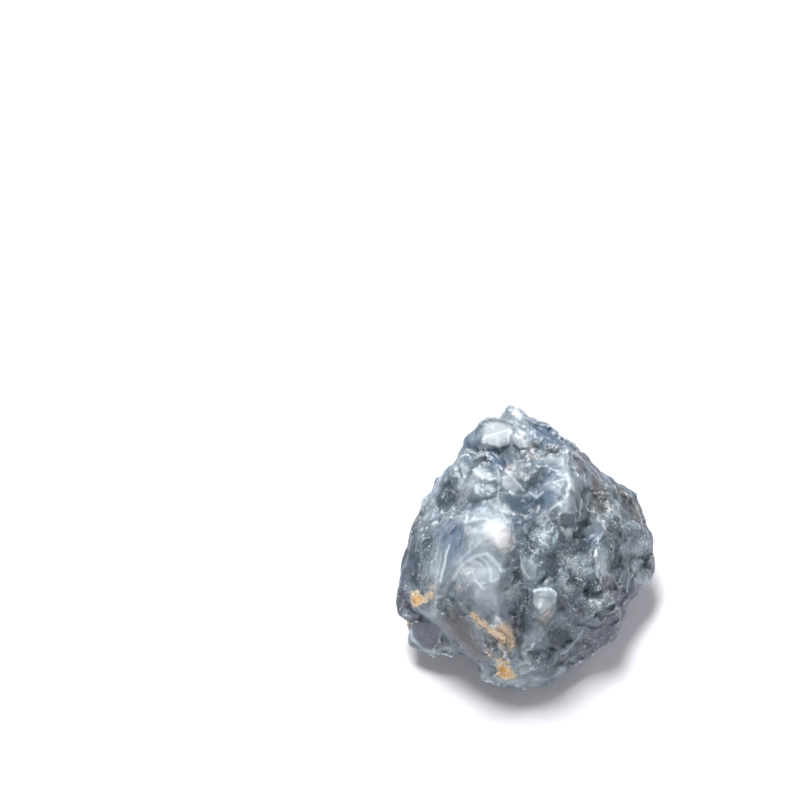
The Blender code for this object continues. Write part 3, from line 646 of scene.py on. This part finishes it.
def near_line(weight, places, line, radius, strength):
    """Raises the weights near a line of points to its strength, softly."""
    if not len(line):
        return
    middle = line.mean(0)
    reach = np.sqrt(((line - middle) ** 2).sum(1)).max() + MARK_REACH * radius
    near = np.flatnonzero(((places - middle) ** 2).sum(1) < reach**2)
    starts = line[:-1] if len(line) > 1 else line
    spans = line[1:] - starts if len(line) > 1 else np.ones((1, 3)) * POINT_SPAN
    apart = places[near][:, None, :] - starts
    share = np.clip((apart * spans).sum(2) / np.maximum((spans**2).sum(1), LEAST_SPAN), 0, 1)
    apart -= share[:, :, None] * spans
    far = (apart**2).sum(2).min(1) / radius**2
    weight[near] = np.maximum(weight[near], strength * np.exp(-far))


def wandering(places, size, reach, salt):
    """The places moved about by a smooth noise, so that marks get an uneven outline."""
    moved = np.array([noise.noise_vector(Vector(p) / size + salt) for p in places])
    return places + reach * moved


def paint_marks(camera, mesh):
    """The strength of each kind of mark at each point of the skin."""
    places, normals = points_of(mesh)
    polygons = [tuple(p.vertices) for p in mesh.polygons]
    solid = BVHTree.FromPolygons([v.co.copy() for v in mesh.vertices], polygons)
    tree = tree_of(places)
    uneven = wandering(wandering(places, *WIDE_BEND), *FINE_BEND)
    straight = wandering(places, *VEIL_BEND)
    hidden = np.flatnonzero(normals @ SIGHT_WAY < OUT_OF_SIGHT)
    rng = np.random.default_rng(MARK_SEED)
    weights = {}
    for kind, marks in MARKS.items():
        weight = np.zeros(len(places))
        skin = straight if kind in ("veil", "smooth") else uneven
        for radius, strength, *path in marks:
            near_line(weight, skin, seen_line(camera, solid, path), radius, strength)
        count, radii, strength, steps = UNSEEN_MARKS[kind]
        for _ in range(count):
            line = unseen_line(rng, places, tree, hidden, steps)
            near_line(weight, skin, line, rng.uniform(*radii), strength * rng.uniform(*UNSEEN_FADE))
        weights[kind] = weight
    return weights


def in_picture(camera, places):
    """The pixel of the picture that each place shows at."""
    turned = (places * MM - np.array(camera.location)) @ np.array(camera.rotation_quaternion.to_matrix())
    across = PICTURE / 2 - turned[:, 0] / turned[:, 2] / PIXEL
    down = PICTURE / 2 + turned[:, 1] / turned[:, 2] / PIXEL
    return np.stack([across, down], axis=1)


def inside(pixels, corners):
    """1 inside a ring of corners and 0 outside, with a soft edge."""
    far = np.full(len(pixels), np.inf)
    within = np.zeros(len(pixels), dtype=bool)
    for start, end in zip(corners, corners[1:] + corners[:1]):
        start, end = np.array(start, dtype=float), np.array(end, dtype=float)
        span = end - start
        share = np.clip(((pixels - start) @ span) / (span @ span), 0, 1)
        far = np.minimum(far, np.linalg.norm(pixels - start - share[:, None] * span, axis=1))
        crosses = (pixels[:, 1] < start[1]) != (pixels[:, 1] < end[1])
        level = np.where(crosses, pixels[:, 1] - start[1], 0.0)
        crosses &= pixels[:, 0] < start[0] + level * span[0] / (span[1] if span[1] else 1.0)
        within ^= crosses
    return np.clip(0.5 + np.where(within, far, -far) / PATCH_EDGE, 0, 1)


def put_patches(camera, mesh, marks):
    """Cuts the patches' flats into the skin and adds their looks to the marks."""
    places, normals = points_of(mesh)
    pixels = in_picture(camera, wandering(places, *EDGE_BEND))
    seen = np.clip((normals @ SIGHT_WAY) * PATCH_FACING, 0, 1)
    for kind, strength, lift, *corners in PATCHES:
        share = inside(pixels, corners) * seen
        marks[kind] = np.maximum(marks[kind] * (1 - PATCH_CLEARS * share), strength * share)
        for other in TINTS:
            if other != kind:
                marks[other] = marks[other] * (1 - PATCH_HIDES * share)
        if lift is None:
            continue
        marks["smooth"] = np.maximum(marks["smooth"], PATCH_SMOOTH * share)
        core = share > PATCH_CORE
        middle = places[core].mean(0)
        facing = np.linalg.svd(places[core] - middle, full_matrices=False)[2][2]
        facing *= np.sign(normals[core].mean(0) @ facing)
        height = ((middle - places) @ facing) / np.maximum(normals @ facing, STEEPEST) + lift
        places += normals * (np.clip(height, -PATCH_CUT, PATCH_CUT) * share)[:, None]
    put_points(mesh, places)


def cleavage_ways(rng):
    """The six ways that a grain of calcite splits, for a grain turned at random."""
    turn = Quaternion(rng.normal(0, 1, 4)).normalized()
    ways = []
    for third in range(3):
        round_axis = Quaternion((0, 0, 1), third * math.tau / 3)
        way = turn @ round_axis @ Vector((math.sin(CLEAVAGE_TO_AXIS), 0, math.cos(CLEAVAGE_TO_AXIS)))
        ways += [way, -way]
    return np.array(ways)


def broken(mesh, rng, cell, lean, tilt, limit, grain, zone):
    """Small flat breaks: each cell of the skin is cut along a plane, near a cleavage if it can be."""
    places, normals = points_of(mesh)
    count = int(len(places) * (POINT_SPACING / cell) ** 2)
    seeds = rng.choice(len(places), count, replace=False)
    grain_count = int(len(places) * (POINT_SPACING / grain) ** 2) + 1
    grains = rng.choice(len(places), grain_count, replace=False)
    grain_tree = tree_of(places[grains])
    ways = [cleavage_ways(rng) for _ in grains]
    facings = np.empty((count, 3))
    for k, seed in enumerate(seeds):
        facing = normals[seed]
        _, index, _ = grain_tree.find(places[seed])
        close = ways[index] @ facing
        if close.max() > NEAR_CLEAVAGE:
            facing = facing * (1 - lean) + ways[index][close.argmax()] * lean
        facing = facing + rng.normal(0, tilt, 3)
        facings[k] = facing / np.linalg.norm(facing)
    seed_tree = tree_of(places[seeds])
    cells = np.array([seed_tree.find(place)[1] for place in places])
    facing = facings[cells]
    height = ((places[seeds][cells] - places) * facing).sum(1)
    height /= np.maximum((normals * facing).sum(1), STEEPEST)
    height = np.clip(height + rng.normal(0, BREAK_LIFT * limit, count)[cells], -limit, limit)
    put_points(mesh, places + normals * ((height - height.mean()) * zone)[:, None])


def keep_number(mesh, name, values):
    layer = mesh.attributes.new(name, "FLOAT", "POINT")
    layer.data.foreach_set("value", values.astype(np.float32))


def keep_colour(mesh, name, values):
    layer = mesh.attributes.new(name, "FLOAT_COLOR", "POINT")
    four = np.ones((len(values), 4), dtype=np.float32)
    four[:, :3] = values
    layer.data.foreach_set("color", four.ravel())


def bend(mesh, links, rounds, softening):
    """How far each point stands out of its surroundings: above zero on ridges, below in hollows."""
    places, normals = points_of(mesh)
    return softened(((places - softened(places, links, rounds)) * normals).sum(1), links, softening)


class Graph:
    """A short way to write a material's nodes."""

    def __init__(self, material):
        material.use_nodes = True
        self.tree = material.node_tree
        self.shader = self.tree.nodes["Principled BSDF"]

    def put(self, socket, value):
        if isinstance(value, bpy.types.NodeSocket):
            self.tree.links.new(value, socket)
        elif value is not None:
            socket.default_value = value

    def node(self, kind, out=0, **inputs):
        made = self.tree.nodes.new(kind)
        for name, value in inputs.items():
            self.put(made.inputs[name.replace("_", " ")], value)
        return made.outputs[out]

    def math(self, operation, one, two=None):
        made = self.tree.nodes.new("ShaderNodeMath")
        made.operation = operation
        for socket, value in zip(made.inputs, (one, two)):
            self.put(socket, value)
        return made.outputs[0]

    def add(self, one, two):
        return self.math("ADD", one, two)

    def times(self, one, two):
        return self.math("MULTIPLY", one, two)

    def share(self, value, name):
        return self.times(value, SHARES[name])

    def less(self, one, two):
        return self.math("SUBTRACT", one, two)

    def vector(self, operation, one, two=None):
        made = self.tree.nodes.new("ShaderNodeVectorMath")
        made.operation = operation
        self.put(made.inputs[0], one)
        self.put(made.inputs[1], two)
        return made.outputs[0]

    def scaled(self, vector, factor):
        made = self.tree.nodes.new("ShaderNodeVectorMath")
        made.operation = "SCALE"
        self.put(made.inputs[0], vector)
        self.put(made.inputs["Scale"], factor)
        return made.outputs[0]

    def noise(self, vector, name, out=0, twist=0.0):
        scale, detail, rough = NOISES[name]
        return self.node(
            "ShaderNodeTexNoise", out, Vector=vector, Scale=scale, Detail=detail, Roughness=rough,
            Distortion=twist,
        )

    def swing(self, vector, name, twist=0.0):
        """A noise about zero."""
        return self.less(self.noise(vector, name, twist=twist), 0.5)

    def cells(self, vector, name):
        """A colour of its own for each cell."""
        return self.node("ShaderNodeTexVoronoi", 1, Vector=vector, Scale=CELLS[name])

    def centred(self, vector):
        """A colour as a lean to any side."""
        return self.vector("SUBTRACT", vector, (0.5, 0.5, 0.5))

    def red(self, colour):
        return self.node("ShaderNodeSeparateColor", 0, Color=colour)

    def step(self, value, name):
        """From 0 to 1, smooth between."""
        low, high = STEPS[name]
        made = self.tree.nodes.new("ShaderNodeMapRange")
        made.interpolation_type = "SMOOTHSTEP"
        for socket, given in zip(made.inputs, (value, low, high, 0.0, 1.0)):
            self.put(socket, given)
        return made.outputs[0]

    def span(self, value, name):
        """A number from 0 to 1 laid out between two others."""
        low, high = SPANS[name]
        return self.add(low, self.times(value, high - low))

    def mix(self, share, one, two):
        """Colour one where share is 0, colour two where it is 1."""
        made = self.tree.nodes.new("ShaderNodeMix")
        made.data_type = "RGBA"
        self.put(made.inputs["Factor"], share)
        for socket, value in zip((made.inputs[6], made.inputs[7]), (one, two)):
            self.put(socket, (*value, 1.0) if isinstance(value, tuple) else value)
        return made.outputs[2]

    def attribute(self, name, out="Fac"):
        made = self.tree.nodes.new("ShaderNodeAttribute")
        made.attribute_name = name
        return made.outputs[out]


def clouded(g, bent, sugar, coarse):
    """Soft clouds inside the stone, small facets of their own tone, and painted shade: dark teal mixed into
    the hollows of the skin.
    """
    mottle = g.share(g.swing(bent, "mottle"), "mottle")
    facet = g.times(g.less(g.red(g.cells(bent, "facets")), 0.5), g.span(sugar, "facet"))
    tone = g.times(g.add(mottle, facet), coarse)
    tone = g.times(g.span(g.noise(bent, "cloud"), "cloud"), g.add(1.0, tone))
    colour = g.scaled(g.attribute("tint", "Color"), tone)
    # Painted shade: the deeper a hollow of the skin lies, the more dark teal is mixed into its colour
    hollow_shade = g.share(g.step(g.attribute("hollow_shade"), "hollow_shade"), "hollow_shade")
    return g.mix(hollow_shade, colour, TINTS["teal"])


def veiled(g, colour, place, bent, coarse):
    """Thin milky veils, scattered and drawn, and white clouds."""
    ripple = g.step(g.math("ABSOLUTE", g.swing(bent, "ripple", RIPPLE_TWIST)), "ripple")
    veil = g.times(g.less(1.0, ripple), g.step(g.noise(place, "ripple zone"), "ripple zone"))
    veil = g.times(veil, g.share(coarse, "ripple"))
    drawn = g.times(g.attribute("veil"), g.span(g.noise(place, "drawn veil"), "drawn veil"))
    veil = g.math("MAXIMUM", veil, g.share(g.step(drawn, "drawn veil"), "drawn veil"))
    colour = g.mix(g.share(veil, "veil"), colour, VEIL)
    uneven = g.times(g.swing(place, "white"), g.span(coarse, "white"))
    white = g.step(g.times(g.attribute("white"), g.add(1.0, uneven)), "white")
    return g.mix(g.share(white, "white"), colour, WHITE)


def sugared(g, colour, place, sugar, grain):
    """Bruised edges and sugary grains: the colour, and how much each grain sparkles. The white specks over
    the grains are partly white grain and partly painted glints.
    """
    bruise = g.times(g.step(g.attribute("ridge"), "ridge"), g.step(g.noise(place, "bruise"), "bruise"))
    colour = g.mix(g.share(bruise, "bruise"), colour, WHITE)
    patch = g.times(g.step(g.noise(place, "sugar"), "sugar"), g.span(sugar, "grain_and_glint"))
    # White specks painted into the colour: partly white grains, partly painted glints
    grain_and_glint = g.times(g.step(grain, "grain_and_glint"), patch)
    gap = g.times(g.step(grain, "gap"), g.share(sugar, "gap"))
    return g.mix(grain_and_glint, g.mix(gap, colour, TINTS["teal"]), WHITE), grain_and_glint


def stained(g, colour, place, grain):
    """Rust, paler at its edges and grainy: the colour, and how much crust there is."""
    stain = g.attribute("stain")
    rust = g.attribute("rust")
    crust = g.add(stain, g.share(g.swing(place, "crust"), "crust noise"))
    crust = g.add(crust, g.share(g.less(grain, 0.5), "crust grain"))
    crust = g.times(g.step(crust, "crust"), g.step(stain, "stain"))
    depth = g.add(stain, g.share(g.swing(place, "ochre"), "ochre noise"))
    depth = g.add(depth, g.share(rust, "rust depth"))
    ochre = g.mix(g.step(depth, "ochre"), STAIN_PALE, STAIN_OCHRE)
    deep = g.add(rust, g.share(g.swing(place, "rust"), "rust noise"))
    ochre = g.scaled(g.mix(g.step(deep, "rust"), ochre, STAIN_RUST), g.span(grain, "rust"))
    return g.mix(g.share(crust, "crust"), colour, ochre), crust


def faceted(g, place, bent, sugar, coarse):
    """The normals of small flats that each shine their own way, over a fine roughness."""
    broad = g.centred(g.cells(bent, "facets"))
    flats = g.centred(g.cells(bent, "flats"))
    grains = g.centred(g.cells(place, "grains"))
    lean = g.vector("ADD", g.scaled(broad, LEANS["facets"]), g.scaled(flats, LEANS["flats"]))
    sugary = g.scaled(g.vector("ADD", flats, grains), g.times(sugar, LEANS["sugar"]))
    lean = g.vector("ADD", g.scaled(lean, coarse), sugary)
    normal = g.vector("NORMALIZE", g.vector("ADD", g.node("ShaderNodeNewGeometry", "Normal"), lean))
    height = g.add(g.noise(place, "fine"), g.noise(bent, "broad"))
    height = g.add(height, g.times(g.noise(place, "grit"), g.share(sugar, "grit")))
    return g.node(
        "ShaderNodeBump", 0, Height=g.times(height, coarse), Strength=BUMP_STRENGTH,
        Distance=BUMP_DEPTH, Normal=normal,
    )


def calcite_material():
    material = bpy.data.materials.new("blue_calcite")
    g = Graph(material)
    place = g.scaled(g.node("ShaderNodeTexCoord", "Object"), 1 / MM)
    bent = g.vector("ADD", place, g.scaled(g.centred(g.noise(place, "warp", out=1)), WARP))
    sugar = g.attribute("sugar")
    coarse = g.less(1.0, g.share(g.attribute("smooth"), "smooth"))
    grain = g.red(g.cells(place, "grains"))
    colour = veiled(g, clouded(g, bent, sugar, coarse), place, bent, coarse)
    colour, grain_and_glint = sugared(g, colour, place, sugar, grain)
    colour, crust = stained(g, colour, place, grain)
    g.put(g.shader.inputs["Base Color"], colour)
    matt = g.share(g.math("MAXIMUM", grain_and_glint, crust), "matt")
    g.put(g.shader.inputs["Roughness"], g.add(g.span(g.noise(place, "gloss"), "gloss"), matt))
    g.shader.inputs["IOR"].default_value = CALCITE_IOR
    g.shader.subsurface_method = "RANDOM_WALK"
    g.shader.inputs["Subsurface Weight"].default_value = GLOW
    g.shader.inputs["Subsurface Radius"].default_value = GLOW_REACH
    g.shader.inputs["Subsurface Scale"].default_value = GLOW_DEPTH
    g.put(g.shader.inputs["Normal"], faceted(g, place, bent, sugar, coarse))
    return material


def crumb_nodes(material):
    """Split crumbs of calcite strewn over a skin, as thick as one of its attributes is strong."""
    tree = bpy.data.node_groups.new("strewn_crumbs", "GeometryNodeTree")
    tree.interface.new_socket("Geometry", in_out="OUTPUT", socket_type="NodeSocketGeometry")
    tree.interface.new_socket("Geometry", in_out="INPUT", socket_type="NodeSocketGeometry")
    tree.interface.new_socket("Zone", in_out="INPUT", socket_type="NodeSocketString")
    for name in ("Crowding", "Smallest", "Largest", "Whiteness"):
        tree.interface.new_socket(name, in_out="INPUT", socket_type="NodeSocketFloat")
    tree.interface.new_socket("Seed", in_out="INPUT", socket_type="NodeSocketInt")

    make = tree.nodes.new

    def join(source, out, target, into):
        tree.links.new(source.outputs[out], target.inputs[into])

    given = make("NodeGroupInput")
    zone = make("GeometryNodeInputNamedAttribute")
    join(given, "Zone", zone, "Name")
    density = make("ShaderNodeMath")
    density.operation = "MULTIPLY"
    join(zone, "Attribute", density, 0)
    join(given, "Crowding", density, 1)
    strewn = make("GeometryNodeDistributePointsOnFaces")
    join(given, "Geometry", strewn, "Mesh")
    join(density, 0, strewn, "Density")
    join(given, "Seed", strewn, "Seed")
    shade = make("FunctionNodeRandomValue")
    join(given, "Whiteness", shade, 3)
    join(given, "Seed", shade, "Seed")
    whiter = make("GeometryNodeStoreNamedAttribute")
    whiter.domain = "POINT"
    whiter.inputs["Name"].default_value = "white"
    join(strewn, "Points", whiter, "Geometry")
    join(shade, 1, whiter, "Value")

    # A cube stood on its corner and pressed down is the shape that calcite splits into
    cube = make("GeometryNodeMeshCube")
    stand = make("GeometryNodeTransform")
    stand.inputs["Rotation"].default_value = (math.radians(45), math.atan(math.sqrt(0.5)), 0)
    join(cube, "Mesh", stand, "Geometry")
    press = make("GeometryNodeTransform")
    press.inputs["Scale"].default_value = (1, 1, CRUMB_PRESS)
    join(stand, "Geometry", press, "Geometry")

    turn = make("FunctionNodeRandomValue")
    turn.data_type = "FLOAT_VECTOR"
    turn.inputs[0].default_value = (-CRUMB_TIP, -CRUMB_TIP, 0)
    turn.inputs[1].default_value = (CRUMB_TIP, CRUMB_TIP, math.tau)
    join(given, "Seed", turn, "Seed")
    lie = make("FunctionNodeRotateRotation")
    lie.rotation_space = "LOCAL"
    join(strewn, "Rotation", lie, "Rotation")
    join(turn, 0, lie, "Rotate By")
    size = make("FunctionNodeRandomValue")
    join(given, "Smallest", size, 2)
    join(given, "Largest", size, 3)
    join(given, "Seed", size, "Seed")
    place = make("GeometryNodeInstanceOnPoints")
    join(whiter, "Geometry", place, "Points")
    join(press, "Geometry", place, "Instance")
    join(lie, "Rotation", place, "Rotation")
    join(size, 1, place, "Scale")
    real = make("GeometryNodeRealizeInstances")
    join(place, "Instances", real, "Geometry")
    finish = make("GeometryNodeSetMaterial")
    finish.inputs["Material"].default_value = material
    join(real, "Geometry", finish, "Geometry")
    join(finish, "Geometry", make("NodeGroupOutput"), "Geometry")
    return tree


def strewn_crumbs(stone, tree, zone, crowding, smallest, largest, whiteness, seed):
    """A plain mesh of crumbs over the stone's skin."""
    crumbs = placed(zone + "_crumbs", stone.data)
    modifier = crumbs.modifiers.new("crumbs", "NODES")
    modifier.node_group = tree
    given = {
        "Zone": zone, "Crowding": crowding, "Smallest": smallest, "Largest": largest,
        "Whiteness": whiteness, "Seed": seed,
    }
    for item in tree.interface.items_tree:
        if item.in_out == "INPUT" and item.name in given:
            modifier[item.identifier] = given[item.name]
    make_plain(crumbs)
    return crumbs


def make_stone(camera):
    stone = make_skin()
    mesh = stone.data
    links = neighbours(mesh)
    relaxed(mesh, links, *SKIN_SMOOTHING)
    marks = paint_marks(camera, mesh)
    rough = np.clip(1.0 - SMOOTH_CALM * marks["smooth"], LEAST_ROUGH, 1.0)
    rough *= np.clip(points_of(mesh)[0][:, 2] / FOOT, 0, 1)
    rng = np.random.default_rng(BREAK_SEED)
    broken(mesh, rng, *LARGE_BREAKS, rough)
    broken(mesh, rng, *MIDDLE_BREAKS, rough)
    put_patches(camera, mesh, marks)
    broken(mesh, rng, *SUGAR_BREAKS, rough * np.clip(SUGAR_FLOOR + marks["sugar"], 0, 1))
    relaxed(mesh, links, *BREAK_SMOOTHING)
    places, _ = points_of(mesh)
    places[:, 2] = np.maximum(places[:, 2], 0.0)
    put_points(mesh, places)
    tint = np.ones((len(places), 1)) * BODY
    for kind, colour in TINTS.items():
        share = marks[kind][:, None]
        tint = tint * (1 - share) + share * np.array(colour)
    keep_colour(mesh, "tint", tint)
    for kind in ("white", "veil", "sugar", "stain", "rust", "smooth"):
        keep_number(mesh, kind, marks[kind])
    ridge = bend(mesh, links, *RIDGE_ROUNDS)
    keep_number(mesh, "ridge", ridge)
    # How deep each hollow lies, which the material paints as shade
    keep_number(mesh, "hollow_shade", -bend(mesh, links, *HOLLOW_ROUNDS))
    clusters = np.array([noise.noise(Vector(place) / CLUSTER) for place in points_of(mesh)[0]])
    crumbly = marks["sugar"] * np.clip(CLUSTER_SPREAD[0] + CLUSTER_SPREAD[1] * clusters, 0, 1)
    crumbly *= np.clip(RIDGE_CRUMBS[0] + ridge / RIDGE_CRUMBS[1], 0, 1)
    keep_number(mesh, "crumbly", crumbly)
    mesh.polygons.foreach_set("use_smooth", np.ones(len(mesh.polygons), dtype=bool))
    mesh.materials.clear()
    mesh.materials.append(calcite_material())
    tree = crumb_nodes(mesh.materials[0])
    crumbs = [
        strewn_crumbs(stone, tree, *WHITE_CRUMBS),
        strewn_crumbs(stone, tree, *STAIN_CRUMBS),
    ]
    with bpy.context.temp_override(active_object=stone, selected_editable_objects=[stone, *crumbs]):
        bpy.ops.object.join()
    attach(stone, "root")
    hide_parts(STONE)


noise.seed_set(NOISE_SEED)
clear_default_scene()
camera = make_camera()
make_studio()
make_stone(camera)
